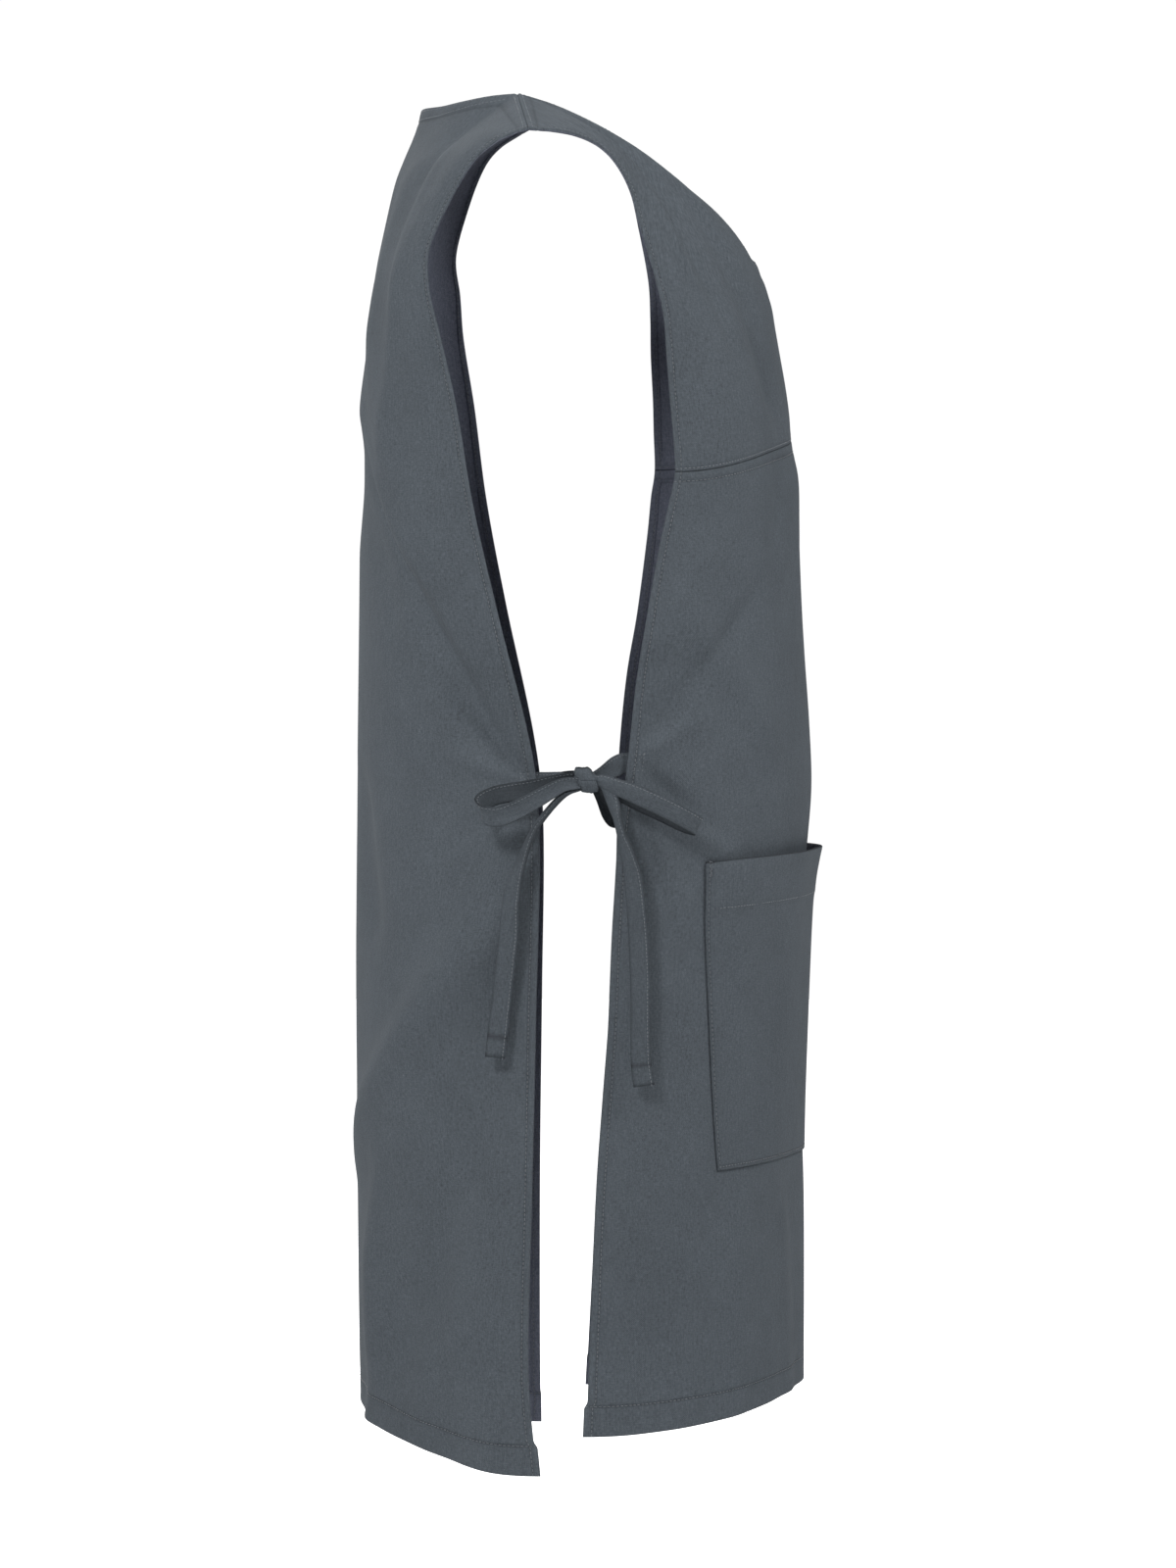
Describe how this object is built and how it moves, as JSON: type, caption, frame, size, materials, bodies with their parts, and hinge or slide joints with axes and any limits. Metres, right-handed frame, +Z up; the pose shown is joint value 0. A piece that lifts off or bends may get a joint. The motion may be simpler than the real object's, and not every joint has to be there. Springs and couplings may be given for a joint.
{
  "type": "cobbler apron",
  "caption": "Over-the-head cobbler apron (tabard) with a chest yoke, one wide patch pocket and cloth ties bowed at each side of the waist.",
  "frame": {"origin": "middle of the body, in the plane of the shoulder seams, at the height of the seams' neck ends, where the apron sits on the shoulders", "axes": "+Z up; the wearer faces -Y; +X is the wearer's left"},
  "size_m": [0.4041, 0.2924, 0.8458],
  "materials": {
    "twill": "matt",
    "twill_inside": "matt",
    "tie_cloth": "matt"
  },
  "bodies": {
    "root": {"back_panel": "twill", "front_yoke": "twill", "front_skirt": "twill", "front_pocket": "twill", "back_neck_facing": "twill_inside", "front_neck_facing": "twill_inside", "right_back_tie": "tie_cloth", "right_front_tie": "tie_cloth", "left_back_tie": "tie_cloth", "left_front_tie": "tie_cloth"}
  },
  "joints": []
}
